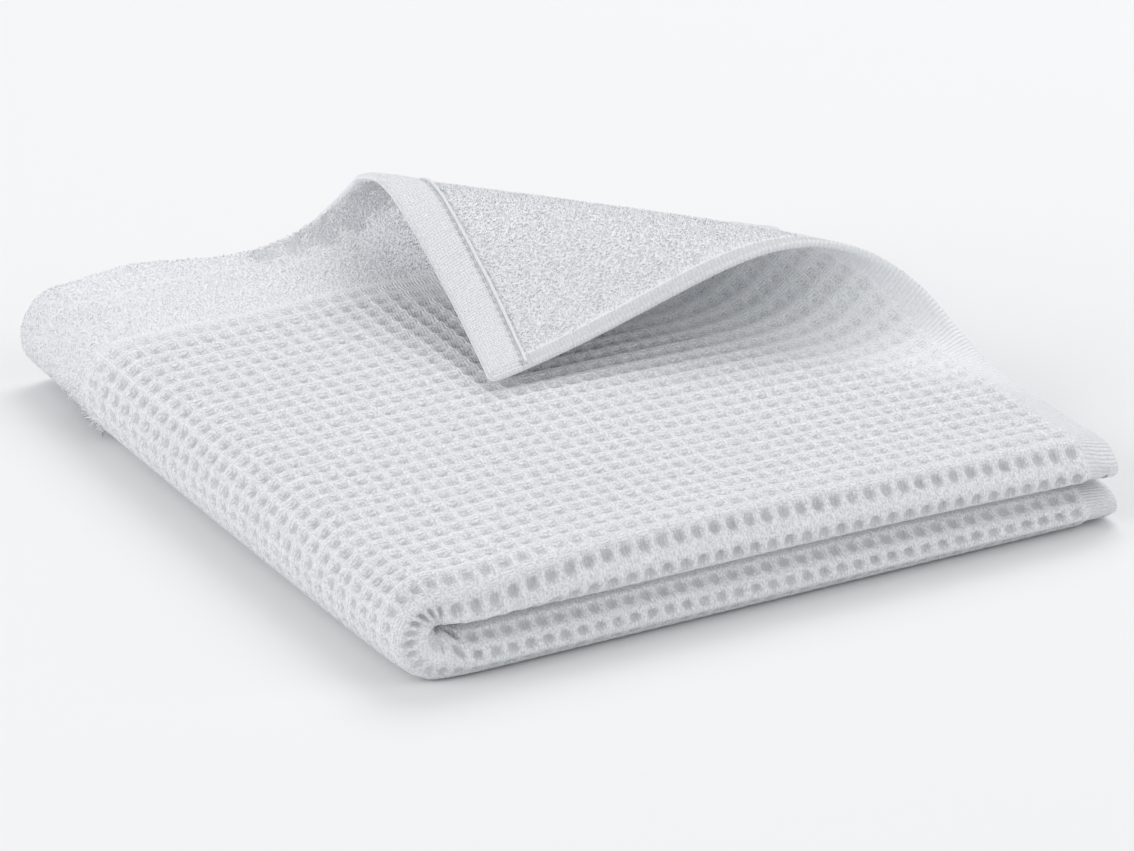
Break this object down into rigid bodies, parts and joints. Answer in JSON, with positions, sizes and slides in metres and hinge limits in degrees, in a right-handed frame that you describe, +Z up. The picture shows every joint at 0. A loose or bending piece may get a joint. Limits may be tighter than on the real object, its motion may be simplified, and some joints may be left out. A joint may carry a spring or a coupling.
{
  "type": "folded guest towel",
  "caption": "White waffle-weave guest towel with a terry back, folded in three and in half, one corner curled over to show the loops.",
  "frame": {"origin": "centre of the folded towel's footprint, on the surface it lies on", "axes": "+X across the towel from the rounded spine fold to the open selvedge side; +Y along it from the rounded front folds to the hemmed back edge; +Z up"},
  "size_m": [0.144, 0.1646, 0.0388],
  "materials": {
    "towel_cotton": "matt bleached cotton, waffle face and terry loop back"
  },
  "bodies": {
    "root": {"towel": "towel_cotton"}
  },
  "joints": []
}
